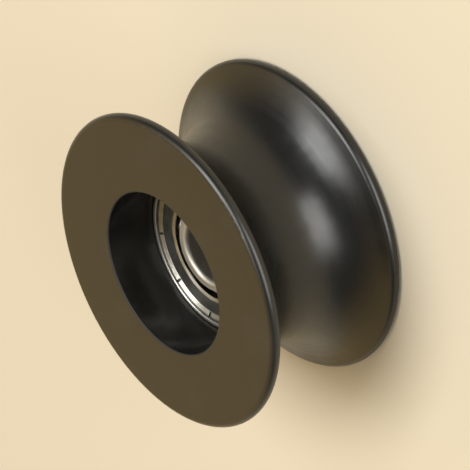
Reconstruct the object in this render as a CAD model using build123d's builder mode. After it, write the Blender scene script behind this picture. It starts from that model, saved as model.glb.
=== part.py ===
from build123d import *
from math import atan2, degrees
import os

# Wire rope sheave: a turned nylon wheel with a shielded deep groove ball
# bearing pressed in its middle. The axle runs along Z and the origin is the
# middle of the wheel, so the wheel stands on its rear face. All sizes in mm.

# Wheel
rim_diameter = 62.0  # over the two lips
sheave_width = 31.0  # over the two end faces
groove_floor_diameter = 42.0  # the rope's circle in the middle of the groove
lip_radius = 1.2  # round of each lip, from the end face to the groove
mouth_chamfer = 0.3  # broken edge of the opening in each end face
seat_shoulder = 2.0  # height of the step that the bearing is pressed against

# Bearing rings
bore_diameter = 12.0
bearing_diameter = 32.0
bearing_width = 10.0
ring_edge_radius = 0.6  # outside edges of the outer ring
bore_edge_radius = 0.9  # edges of the inner ring's bore
ring_burr_break = 0.15  # small bevel on the other edges of the ring faces

# Balls and raceways
ball_count = 7
ball_diameter = 5.953
ball_clearance = 0.03  # ball to the bottom of each raceway
raceway_ease = 0.12  # raceway radius over ball radius
raceway_depth = 1.3  # raceway bottom to the ring's shoulder

# Ribbon cage, two pressed halves riveted together between the balls
cage_thickness = 0.4
cage_strip_width = 2.6
pocket_clearance = 0.1
rivet_radius = 0.35
rivet_head_radius = 0.62

# Shields, pressed from sheet, with a curled edge held in the outer ring
shield_thickness = 0.35
shield_web_depth = 0.55  # ring face down to the shield's flat web
shield_crown_depth = 0.1  # ring face down to the top of the curled edge
shield_bend_radius = 0.3
curl_width = 1.55  # leg of the curled edge in to the web
lip_drop = 0.2  # how far the shield's inner edge is bent inwards
lip_reach = 0.6  # width of that bent edge
notch_count = 9
notch_width = 0.55
notch_angle = 20.0  # degrees from +X to the first notch

# Seat of the shield in the outer ring, and its way past the inner ring
ring_lip_width = 1.05  # outside of the bearing in to the lip over the shield
ring_lip_height = 0.4
groove_undercut = 0.3
shield_fit = 0.05  # shield's leg to the undercut
inner_face_width = 1.95  # flat land of the inner ring round its bore
inner_step_depth = 1.5  # ring face down to the step beside that land
shield_bore_gap = 0.6  # inner ring's shoulder out to the shield's inner edge

os.makedirs("parts", exist_ok=True)

# Sheave wheel -----------------------------------------------------------------
# The groove is one hollow arc that runs into both lips without a corner, so
# its radius follows from the floor, the lips and the width.

half_width = sheave_width / 2
floor_radius = groove_floor_diameter / 2
lip_centre_radius = rim_diameter / 2 - lip_radius
lip_centre_height = half_width - lip_radius
lip_above_floor = lip_centre_radius - floor_radius
groove_radius = (lip_above_floor**2 + lip_centre_height**2 - lip_radius**2) / (
    2 * (lip_above_floor + lip_radius)
)
groove_centre_radius = floor_radius + groove_radius
flank_angle = degrees(atan2(lip_centre_height, groove_centre_radius - lip_centre_radius))

seat_radius = bearing_diameter / 2
ring_half_width = bearing_width / 2
rear_opening_radius = seat_radius - seat_shoulder

with BuildPart() as sheave_wheel:
    with BuildSketch(Plane.XZ):
        with BuildLine():
            CenterArc((groove_centre_radius, 0), groove_radius, 180 - flank_angle, 2 * flank_angle)
            rear_lip = CenterArc(
                (lip_centre_radius, -lip_centre_height),
                lip_radius,
                flank_angle,
                -90 - flank_angle,
            )
            front_lip = CenterArc(
                (lip_centre_radius, lip_centre_height), lip_radius, 90, -90 - flank_angle
            )
            Polyline(
                rear_lip @ 1,
                (rear_opening_radius + mouth_chamfer, -half_width),
                (rear_opening_radius, mouth_chamfer - half_width),
                (rear_opening_radius, -ring_half_width),
                (seat_radius, -ring_half_width),
                (seat_radius, half_width - mouth_chamfer),
                (seat_radius + mouth_chamfer, half_width),
                front_lip @ 0,
            )
        make_face()
    revolve(axis=Axis.Z)
sheave_wheel.part.label = "sheave_wheel"
export_step(sheave_wheel.part, "parts/sheave_wheel.step")


# Bearing rings ----------------------------------------------------------------
# Each ring is turned from one half section, mirrored about the middle of the
# raceway.

pitch_radius = (bore_diameter + bearing_diameter) / 4
ball_radius = ball_diameter / 2
raceway_radius = ball_radius + raceway_ease
inner_raceway_bottom = pitch_radius - ball_radius - ball_clearance
outer_raceway_bottom = pitch_radius + ball_radius + ball_clearance
inner_shoulder_radius = inner_raceway_bottom + raceway_depth
outer_shoulder_radius = outer_raceway_bottom - raceway_depth

web_height = ring_half_width - shield_web_depth - shield_thickness / 2
crown_height = ring_half_width - shield_crown_depth - shield_thickness / 2
shield_edge_height = web_height - lip_drop
bore_radius = bore_diameter / 2
inner_land_radius = bore_radius + inner_face_width
inner_step_height = ring_half_width - inner_step_depth

with BuildPart() as inner_ring:
    with BuildSketch(Plane.XZ) as inner_section:
        with BuildLine():
            Polyline(
                (bore_radius, 0),
                (bore_radius, ring_half_width),
                (inner_land_radius, ring_half_width),
                (inner_land_radius, inner_step_height),
                (inner_shoulder_radius, inner_step_height),
                (inner_shoulder_radius, 0),
                close=True,
            )
        make_face()
        fillet(inner_section.vertices().group_by(Axis.Y)[-1].sort_by(Axis.X)[0], bore_edge_radius)
        chamfer(inner_section.vertices().group_by(Axis.Y)[-1].sort_by(Axis.X)[-1], ring_burr_break)
        with Locations((inner_raceway_bottom + raceway_radius, 0)):
            Circle(raceway_radius, mode=Mode.SUBTRACT)
    revolve(axis=Axis.Z)
    mirror(about=Plane.XY)
inner_ring.part.label = "inner_ring"
export_step(inner_ring.part, "parts/inner_ring.step")

ring_lip_radius = seat_radius - ring_lip_width
undercut_radius = ring_lip_radius + groove_undercut
undercut_height = ring_half_width - ring_lip_height
ledge_height = shield_edge_height - shield_thickness / 2

with BuildPart() as outer_ring:
    with BuildSketch(Plane.XZ) as outer_section:
        with BuildLine():
            Polyline(
                (seat_radius, 0),
                (seat_radius, ring_half_width),
                (ring_lip_radius, ring_half_width),
                (ring_lip_radius, undercut_height),
                (undercut_radius, undercut_height),
                (undercut_radius, ledge_height),
                (outer_shoulder_radius, ledge_height),
                (outer_shoulder_radius, 0),
                close=True,
            )
        make_face()
        fillet(outer_section.vertices().group_by(Axis.Y)[-1].sort_by(Axis.X)[-1], ring_edge_radius)
        chamfer(outer_section.vertices().group_by(Axis.Y)[-1].sort_by(Axis.X)[0], ring_burr_break)
        with Locations((outer_raceway_bottom - raceway_radius, 0)):
            Circle(raceway_radius, mode=Mode.SUBTRACT)
    revolve(axis=Axis.Z)
    mirror(about=Plane.XY)
outer_ring.part.label = "outer_ring"
export_step(outer_ring.part, "parts/outer_ring.step")


# Balls ------------------------------------------------------------------------

for number, place in enumerate(PolarLocations(pitch_radius, ball_count), start=1):
    with BuildPart() as ball:
        with Locations(place):
            Sphere(ball_radius)
    ball.part.label = f"ball_{number}"
    export_step(ball.part, f"parts/ball_{number}.step")


# Ribbon cage ------------------------------------------------------------------
# A flat strip between the balls, pressed into a round pocket over each ball.

pocket_radius = ball_radius + pocket_clearance
cage_inner_radius = pitch_radius - cage_strip_width / 2
cage_outer_radius = pitch_radius + cage_strip_width / 2
rivet_angle = 180 / ball_count  # halfway between two balls
upper_half = (Align.CENTER, Align.CENTER, Align.MIN)
lower_half = (Align.CENTER, Align.CENTER, Align.MAX)

with BuildPart() as cage_front:
    with PolarLocations(pitch_radius, ball_count):
        Sphere(pocket_radius + cage_thickness, arc_size1=0, align=upper_half)
    with BuildSketch():
        Circle(cage_outer_radius)
    extrude(amount=cage_thickness)
    with BuildSketch():
        Circle(cage_outer_radius)
        Circle(cage_inner_radius, mode=Mode.SUBTRACT)
    extrude(amount=ring_half_width, mode=Mode.INTERSECT)
    with PolarLocations(pitch_radius, ball_count):
        Sphere(pocket_radius, mode=Mode.SUBTRACT)
    with PolarLocations(pitch_radius, ball_count, start_angle=rivet_angle):
        Hole(rivet_radius)
cage_front.part.label = "cage_front"
export_step(cage_front.part, "parts/cage_front.step")

with BuildPart() as cage_rear:
    mirror(cage_front.part, about=Plane.XY)
cage_rear.part.label = "cage_rear"
export_step(cage_rear.part, "parts/cage_rear.step")

with BuildPart() as cage_rivets:
    with PolarLocations(pitch_radius, ball_count, start_angle=rivet_angle):
        Cylinder(rivet_radius, 2 * cage_thickness)
        with Locations((0, 0, cage_thickness)):
            Sphere(rivet_head_radius, arc_size1=0, align=upper_half)
        with Locations((0, 0, -cage_thickness)):
            Sphere(rivet_head_radius, arc_size2=0, align=lower_half)
cage_rivets.part.label = "cage_rivets"
export_step(cage_rivets.part, "parts/cage_rivets.step")


# Shields ----------------------------------------------------------------------
# Sheet pressed to shape: a leg down in the outer ring's undercut, the curled
# edge that slopes in to a flat web, and an inner edge bent in over the inner
# ring's shoulder. The curled edge is notched so that it can be pressed home.

leg_radius = undercut_radius - shield_fit - shield_thickness / 2
leg_top = ledge_height + shield_bend_radius
crown_radius = leg_radius - (crown_height - leg_top)
web_outer_radius = leg_radius - curl_width
shield_edge_radius = inner_shoulder_radius + shield_bore_gap + shield_thickness / 2

with BuildPart() as shield_front:
    with BuildSketch(Plane.XZ):
        with BuildLine():
            FilletPolyline(
                (leg_radius, ledge_height),
                (leg_radius, leg_top),
                (crown_radius, crown_height),
                (web_outer_radius, web_height),
                (shield_edge_radius + lip_reach, web_height),
                (shield_edge_radius, shield_edge_height),
                radius=shield_bend_radius,
            )
        trace(line_width=shield_thickness)
    revolve(axis=Axis.Z)
    with BuildSketch(Plane.XY.offset(web_height + shield_thickness / 2)):
        with PolarLocations((web_outer_radius + leg_radius) / 2, notch_count, start_angle=notch_angle):
            SlotOverall(leg_radius - web_outer_radius, notch_width)
    extrude(amount=ring_half_width, mode=Mode.SUBTRACT)
shield_front.part.label = "shield_front"
export_step(shield_front.part, "parts/shield_front.step")

with BuildPart() as shield_rear:
    mirror(shield_front.part, about=Plane.XY)
shield_rear.part.label = "shield_rear"
export_step(shield_rear.part, "parts/shield_rear.step")
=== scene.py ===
import math

import bpy
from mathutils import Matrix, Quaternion, Vector


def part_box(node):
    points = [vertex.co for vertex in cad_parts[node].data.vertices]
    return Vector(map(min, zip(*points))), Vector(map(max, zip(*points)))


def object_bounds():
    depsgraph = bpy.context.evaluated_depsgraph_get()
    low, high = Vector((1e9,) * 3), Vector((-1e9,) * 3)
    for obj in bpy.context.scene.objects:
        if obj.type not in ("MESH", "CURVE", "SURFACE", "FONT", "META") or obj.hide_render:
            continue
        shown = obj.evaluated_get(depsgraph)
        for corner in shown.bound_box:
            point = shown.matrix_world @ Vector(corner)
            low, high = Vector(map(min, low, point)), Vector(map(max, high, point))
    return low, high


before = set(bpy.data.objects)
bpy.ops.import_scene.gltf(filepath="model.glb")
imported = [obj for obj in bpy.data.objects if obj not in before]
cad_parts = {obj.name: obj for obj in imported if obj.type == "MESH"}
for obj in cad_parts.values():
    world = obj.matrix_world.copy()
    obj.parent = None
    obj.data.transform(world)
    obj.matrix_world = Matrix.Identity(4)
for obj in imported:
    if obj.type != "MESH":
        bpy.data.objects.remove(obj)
cad_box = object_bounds()

# Sheave wheel ---------------------------------------------------------------
# One turned blank of black nylon: two rounded lips, a hollow rope groove and a
# deep recess in each end. The lathe tool leaves fine rings on every face, and
# the satin surface has a few dull patches from handling.

NYLON_BLACK = (0.0048, 0.0048, 0.0040, 1)
NYLON_RUBBED = (0.0115, 0.0110, 0.0095, 1)
NYLON_IOR = 1.53
NYLON_GLOSS = 0.58
NYLON_ROUGHNESS = (0.29, 0.34)
HANDLING_ROUGHNESS = (-0.03, 0.05)  # added to it in patches
RECESS_POLISH = -0.45  # change of roughness inside the recess wall
MOUTH_ROUGHENING = 0.34  # change inside the outer edge of its chamfer
MOUTH_CHAMFER = 0.0003  # broken edge of each recess
MESH_ERROR = 0.00002  # the mesh may lie this far from a round wall
FINE_MARK_DEPTH = 0.0000012
BROAD_MARK_DEPTH = 0.000006
WELD_REACH = 0.000001
NOISE_RANGE = (0.3, 0.7)  # most of a noise lies between these


def new_material(name):
    material = bpy.data.materials.new(name)
    material.use_nodes = True
    tree = material.node_tree
    return material, tree.nodes, tree.links.new, tree.nodes["Principled BSDF"]


def maths(nodes, link, operation, *values):
    node = nodes.new("ShaderNodeMath")
    node.operation = operation
    for socket, value in zip(node.inputs, values):
        if isinstance(value, bpy.types.NodeSocket):
            link(value, socket)
        else:
            socket.default_value = value
    return node.outputs[0]


def spread(nodes, link, value, low, high, start=0.0, end=1.0):
    """A value from start to end, turned into one from low to high."""
    node = nodes.new("ShaderNodeMapRange")
    link(value, node.inputs["Value"])
    node.inputs["From Min"].default_value = start
    node.inputs["From Max"].default_value = end
    node.inputs["To Min"].default_value = low
    node.inputs["To Max"].default_value = high
    return node.outputs["Result"]


def round_axle(nodes, link):
    """x, y and z of a point, and its distance from the axle."""
    place = nodes.new("ShaderNodeTexCoord").outputs["Object"]
    split = nodes.new("ShaderNodeSeparateXYZ")
    link(place, split.inputs[0])
    x, y, z = split.outputs
    squares = [maths(nodes, link, "MULTIPLY", side, side) for side in (x, y)]
    return x, y, z, maths(nodes, link, "SQRT", maths(nodes, link, "ADD", *squares))


def ring_marks(nodes, link, pitch, wander=0.3, detail=2.0):
    """Tool marks that run round the axle, fast across and slow along the ring."""
    x, y, z, radius = round_axle(nodes, link)
    joined = nodes.new("ShaderNodeCombineXYZ")
    link(maths(nodes, link, "DIVIDE", radius, pitch), joined.inputs[0])
    link(maths(nodes, link, "DIVIDE", z, pitch), joined.inputs[1])
    turn = maths(nodes, link, "DIVIDE", x, radius)
    link(maths(nodes, link, "MULTIPLY", turn, wander), joined.inputs[2])
    noise = nodes.new("ShaderNodeTexNoise")
    noise.noise_dimensions = "4D"
    noise.inputs["Scale"].default_value = 1.0
    noise.inputs["Detail"].default_value = detail
    link(joined.outputs[0], noise.inputs["Vector"])
    turn = maths(nodes, link, "DIVIDE", y, radius)
    link(maths(nodes, link, "MULTIPLY", turn, wander), noise.inputs["W"])
    return noise.outputs["Fac"]


def patches(nodes, link, size, detail=3.0):
    """Cloudy patches of about this size."""
    place = nodes.new("ShaderNodeTexCoord").outputs["Object"]
    noise = nodes.new("ShaderNodeTexNoise")
    noise.inputs["Scale"].default_value = 1 / size
    noise.inputs["Detail"].default_value = detail
    link(place, noise.inputs["Vector"])
    return noise.outputs["Fac"]


def bumped(nodes, link, shader, *layers):
    """Stacks layers, each a height and its depth in metres, on the shader's normal."""
    before = None
    for height, depth in layers:
        bump = nodes.new("ShaderNodeBump")
        bump.inputs["Strength"].default_value = 1.0
        bump.inputs["Distance"].default_value = depth
        link(height, bump.inputs["Height"])
        if before:
            link(before, bump.inputs["Normal"])
        before = bump.outputs["Normal"]
    link(before, shader.inputs["Normal"])


def coloured(nodes, link, value, low, high):
    """A colour between low and high, by a value from 0 to 1."""
    mix = nodes.new("ShaderNodeMix")
    mix.data_type = "RGBA"
    link(value, mix.inputs["Factor"])
    mix.inputs["A"].default_value = low
    mix.inputs["B"].default_value = high
    return mix.outputs["Result"]


def dress(node, material):
    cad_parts[node].data.materials.clear()
    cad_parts[node].data.materials.append(material)


nylon, nodes, link, shader = new_material("turned_black_nylon")
shader.inputs["IOR"].default_value = NYLON_IOR
shader.inputs["Specular IOR Level"].default_value = NYLON_GLOSS
fine = ring_marks(nodes, link, pitch=0.00016)
broad = ring_marks(nodes, link, pitch=0.0007, wander=0.4, detail=1.0)
clouds = patches(nodes, link, size=0.012)
rubbed = spread(nodes, link, clouds, 0.0, 1.0, start=0.55, end=0.8)
link(coloured(nodes, link, rubbed, NYLON_BLACK, NYLON_RUBBED), shader.inputs["Base Color"])
sheen = maths(nodes, link, "ADD",
              spread(nodes, link, broad, *NYLON_ROUGHNESS, *NOISE_RANGE),
              spread(nodes, link, clouds, *HANDLING_ROUGHNESS, *NOISE_RANGE))
radius = round_axle(nodes, link)[3]
recess_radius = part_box("outer_ring")[1].x + MESH_ERROR
for edge, change in ((recess_radius, RECESS_POLISH),
                     (recess_radius + MOUTH_CHAMFER, MOUTH_ROUGHENING)):
    inside = maths(nodes, link, "LESS_THAN", radius, edge)
    sheen = maths(nodes, link, "ADD", sheen, maths(nodes, link, "MULTIPLY", inside, change))
link(sheen, shader.inputs["Roughness"])
bumped(nodes, link, shader, (fine, FINE_MARK_DEPTH), (broad, BROAD_MARK_DEPTH))
dress("sheave_wheel", nylon)

# The flat end faces lead the shading normals, so the lips shine as one line.
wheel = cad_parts["sheave_wheel"]
joined = wheel.modifiers.new("joined_faces", "WELD")
joined.merge_threshold = WELD_REACH
level = wheel.modifiers.new("level_faces", "WEIGHTED_NORMAL")
level.mode = "FACE_AREA"
level.weight = 100

# Bearing rings --------------------------------------------------------------
# The outer ring is pressed into the wheel and the inner ring takes the axle.
# Both are hardened steel, ground bright on the faces, the bore and the edges.

RING_STEEL = (0.50, 0.49, 0.455, 1)
RING_STEEL_DULL = (0.39, 0.375, 0.34, 1)
RING_ROUGHNESS = {"outer_ring": (0.38, 0.5), "inner_ring": (0.44, 0.56)}
GRINDING_DEPTH = 0.0000012
DULL_RANGE = (0.35, 0.75)  # of the stain noise

for ring, roughness in RING_ROUGHNESS.items():
    ring_steel, nodes, link, shader = new_material(f"{ring}_steel")
    shader.inputs["Metallic"].default_value = 1.0
    fine = ring_marks(nodes, link, pitch=0.00007)
    stain = patches(nodes, link, size=0.004)
    dull = spread(nodes, link, stain, 0, 1, *DULL_RANGE)
    link(coloured(nodes, link, dull, RING_STEEL, RING_STEEL_DULL), shader.inputs["Base Color"])
    link(spread(nodes, link, fine, *roughness, *NOISE_RANGE), shader.inputs["Roughness"])
    bumped(nodes, link, shader, (fine, GRINDING_DEPTH))
    dress(ring, ring_steel)

# Shields --------------------------------------------------------------------
# Thin steel sheet, pressed to shape and crimped into the outer ring by the
# notches in its curled edge. The sheet keeps its rolled grain under a bright
# finish, with a little oil in patches here and there.

SHIELD_STEEL = (0.37, 0.365, 0.34, 1)
SHIELD_STEEL_OILY = (0.235, 0.225, 0.19, 1)
SHIELD_ROUGHNESS = (0.27, 0.39)
GRAIN_DEPTH = 0.0000015
DENT_DEPTH = 0.000008
OIL_RANGE = (0.4, 0.7)  # of the stain noise

sheet_steel, nodes, link, shader = new_material("pressed_shield_steel")
shader.inputs["Metallic"].default_value = 1.0
fine = ring_marks(nodes, link, pitch=0.00012, wander=4.0)
stain = patches(nodes, link, size=0.003)
oily = spread(nodes, link, stain, 0, 1, *OIL_RANGE)
link(coloured(nodes, link, oily, SHIELD_STEEL, SHIELD_STEEL_OILY), shader.inputs["Base Color"])
link(spread(nodes, link, fine, *SHIELD_ROUGHNESS, *NOISE_RANGE), shader.inputs["Roughness"])
bumped(nodes, link, shader, (fine, GRAIN_DEPTH), (stain, DENT_DEPTH))
for shield in ("shield_front", "shield_rear"):
    dress(shield, sheet_steel)

# Balls ----------------------------------------------------------------------
# Seven bearing balls of chrome steel, lapped to a mirror finish. They roll
# between the two raceways.

BALL_STEEL = (0.66, 0.66, 0.66, 1)
BALL_ROUGHNESS = (0.05, 0.12)

lapped_steel, nodes, link, shader = new_material("lapped_ball_steel")
shader.inputs["Metallic"].default_value = 1.0
shader.inputs["Base Color"].default_value = BALL_STEEL
lapped = patches(nodes, link, size=0.0015)
link(spread(nodes, link, lapped, *BALL_ROUGHNESS), shader.inputs["Roughness"])
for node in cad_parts:
    if node.startswith("ball_"):
        dress(node, lapped_steel)

# Cage -----------------------------------------------------------------------
# Two wavy ribbons of pressed steel, joined by seven round-headed rivets. They
# keep the balls apart, and are dull from tumbling and grease.

CAGE_STEEL = (0.42, 0.41, 0.38, 1)
CAGE_STEEL_GREASY = (0.24, 0.22, 0.17, 1)
CAGE_ROUGHNESS = (0.34, 0.5)
TUMBLING_DEPTH = 0.000006
CAGE_SLOTS = {"cage_front": "cage_steel", "cage_rear": "cage_steel", "cage_rivets": "rivet_steel"}

ribbon_steel, nodes, link, shader = new_material("tumbled_cage_steel")
shader.inputs["Metallic"].default_value = 1.0
tumbled = patches(nodes, link, size=0.0008, detail=4.0)
grease = patches(nodes, link, size=0.004)
greasy = spread(nodes, link, grease, 0, 1, *OIL_RANGE)
link(coloured(nodes, link, greasy, CAGE_STEEL, CAGE_STEEL_GREASY), shader.inputs["Base Color"])
link(spread(nodes, link, tumbled, *CAGE_ROUGHNESS, *NOISE_RANGE), shader.inputs["Roughness"])
bumped(nodes, link, shader, (tumbled, TUMBLING_DEPTH))
for node, slot in CAGE_SLOTS.items():
    dress(node, ribbon_steel)

# Floor ----------------------------------------------------------------------
# A plain pale table top, wide enough to reach the horizon from every side. Far
# from the wheel it glows with the colours of the room's horizon, a painted backdrop seen by the
# camera and in reflections, so it runs over into the horizon without an edge.

FLOOR_CREAM = (0.58, 0.52, 0.41, 1)
FLOOR_SIZE = 12.0
FLOOR_ROUGHNESS = 0.7
FLOOR_GLOSS = 0.2
FADE_START = 0.15  # from the axle
FADE_END = 0.8
HORIZON_GREY = (0.60, 0.55, 0.45, 1)
HORIZON_WARM = (0.84, 0.75, 0.58, 1)
WARM_SIDE = (-0.1, 0.80, 0.59)
HORIZON_RANGE = (0.3, 0.75)  # of a direction's share of the warm side


def warm_side(nodes, link, way):
    """How far a direction turns to the room's warm side."""
    side = nodes.new("ShaderNodeVectorMath")
    side.operation = "DOT_PRODUCT"
    link(way, side.inputs[0])
    side.inputs[1].default_value = WARM_SIDE
    return side.outputs["Value"]


def horizon(nodes, link, warmth):
    """The colour where floor and walls meet, by the warmth of that side."""
    return coloured(nodes, link, spread(nodes, link, warmth, 0, 1, *HORIZON_RANGE),
                    HORIZON_GREY, HORIZON_WARM)


bpy.ops.mesh.primitive_plane_add(size=FLOOR_SIZE, location=(0, 0, cad_box[0].z))
floor = bpy.context.object
floor.name = "floor"
table_top, nodes, link, shader = new_material("plain_table_top")
shader.inputs["Base Color"].default_value = FLOOR_CREAM
shader.inputs["Roughness"].default_value = FLOOR_ROUGHNESS
shader.inputs["Specular IOR Level"].default_value = FLOOR_GLOSS
outward = nodes.new("ShaderNodeVectorMath")
outward.operation = "NORMALIZE"
link(nodes.new("ShaderNodeTexCoord").outputs["Object"], outward.inputs[0])
# Painted glow of the far floor: the horizon's colour, warm or grey by side, for camera, glossy
# and transmission rays.
glow = nodes.new("ShaderNodeEmission")
link(horizon(nodes, link, warm_side(nodes, link, outward.outputs[0])), glow.inputs["Color"])
rays = nodes.new("ShaderNodeLightPath")
seen = maths(nodes, link, "MAXIMUM",
             rays.outputs["Is Camera Ray"], rays.outputs["Is Glossy Ray"])
seen = maths(nodes, link, "MAXIMUM", seen, rays.outputs["Is Transmission Ray"])
far = spread(nodes, link, round_axle(nodes, link)[3], 0, 1, FADE_START, FADE_END)
fade = nodes.new("ShaderNodeMixShader")
link(maths(nodes, link, "MULTIPLY", far, seen), fade.inputs[0])
link(shader.outputs[0], fade.inputs[1])
link(glow.outputs[0], fade.inputs[2])
link(fade.outputs[0], nodes["Material Output"].inputs["Surface"])
table_top.cycles.emission_sampling = "NONE"
floor.data.materials.append(table_top)

# Light ----------------------------------------------------------------------
# A soft studio: a large softbox low in front, a smaller one overhead, and a
# dim room that is warmer on the side behind the wheel.

ROOM_GREY = (0.15, 0.15, 0.145, 1)
ROOM_WARM = (0.86, 0.61, 0.27, 1)
WALL_RANGE = (0.3, 0.85)  # of a direction's share of the warm side
WALL_FOOT = (0.04, 0.2)  # heights between which the horizon turns into wall

room = bpy.data.worlds.new("room")
bpy.context.scene.world = room
room.use_nodes = True
nodes, link = room.node_tree.nodes, room.node_tree.links.new
way = nodes.new("ShaderNodeTexCoord").outputs["Generated"]
warmth = warm_side(nodes, link, way)
walls = coloured(nodes, link, spread(nodes, link, warmth, 0, 1, *WALL_RANGE),
                 ROOM_GREY, ROOM_WARM)
height = nodes.new("ShaderNodeSeparateXYZ")
link(way, height.inputs[0])
low = nodes.new("ShaderNodeMix")
low.data_type = "RGBA"
link(spread(nodes, link, height.outputs["Z"], 0, 1, *WALL_FOOT), low.inputs["Factor"])
link(horizon(nodes, link, warmth), low.inputs["A"])
link(walls, low.inputs["B"])
link(low.outputs["Result"], nodes["Background"].inputs["Color"])


def softbox(name, direction, distance, size, power, colour, turn=0.0):
    """A lamp that faces the wheel, turned about the line to it by so many degrees."""
    lamp = bpy.data.lights.new(name, "AREA")
    lamp.shape = "RECTANGLE"
    lamp.size, lamp.size_y = size
    lamp.energy = power
    lamp.color = colour
    stand = bpy.data.objects.new(name, lamp)
    bpy.context.scene.collection.objects.link(stand)
    back = Vector(direction).normalized()
    stand.location = back * distance
    stand.rotation_mode = "QUATERNION"
    twist = Quaternion((0, 0, 1), math.radians(turn))
    stand.rotation_quaternion = back.to_track_quat("Z", "Y") @ twist


softbox("front_softbox", direction=(-0.333, -0.916, 0.225), distance=1.5,
        size=(1.33, 0.83), power=17.2, colour=(1.0, 0.99, 0.95))
softbox("overhead_strip", direction=(0.34, -0.18, 1.0), distance=1.3,
        size=(1.17, 0.68), power=20.2, colour=(1.0, 1.0, 0.97), turn=50)

# Camera ---------------------------------------------------------------------
# A long lens looking down on the wheel, turned on its side so that the axle
# runs down to the left.

AIM = Vector((0.00064, -0.00103, -0.00168))
VIEW_DISTANCE = 0.5637
VIEW_AZIMUTH = math.radians(0.05)
VIEW_ELEVATION = math.radians(31.95)
VIEW_ROLL = math.radians(-115.9)
LENS_LENGTH = 232.55  # millimetres, as is the sensor
SENSOR_WIDTH = 36.0

lens = bpy.data.cameras.new("camera")
lens.lens = LENS_LENGTH
lens.sensor_width = SENSOR_WIDTH
camera = bpy.data.objects.new("camera", lens)
bpy.context.scene.collection.objects.link(camera)
back = Vector((
    -math.sin(VIEW_AZIMUTH) * math.cos(VIEW_ELEVATION),
    -math.cos(VIEW_AZIMUTH) * math.cos(VIEW_ELEVATION),
    math.sin(VIEW_ELEVATION),
))
camera.location = AIM + back * VIEW_DISTANCE
camera.rotation_mode = "QUATERNION"
camera.rotation_quaternion = back.to_track_quat("Z", "Y") @ Quaternion((0, 0, 1), VIEW_ROLL)
bpy.context.scene.camera = camera
bpy.context.scene.view_settings.view_transform = "Standard"
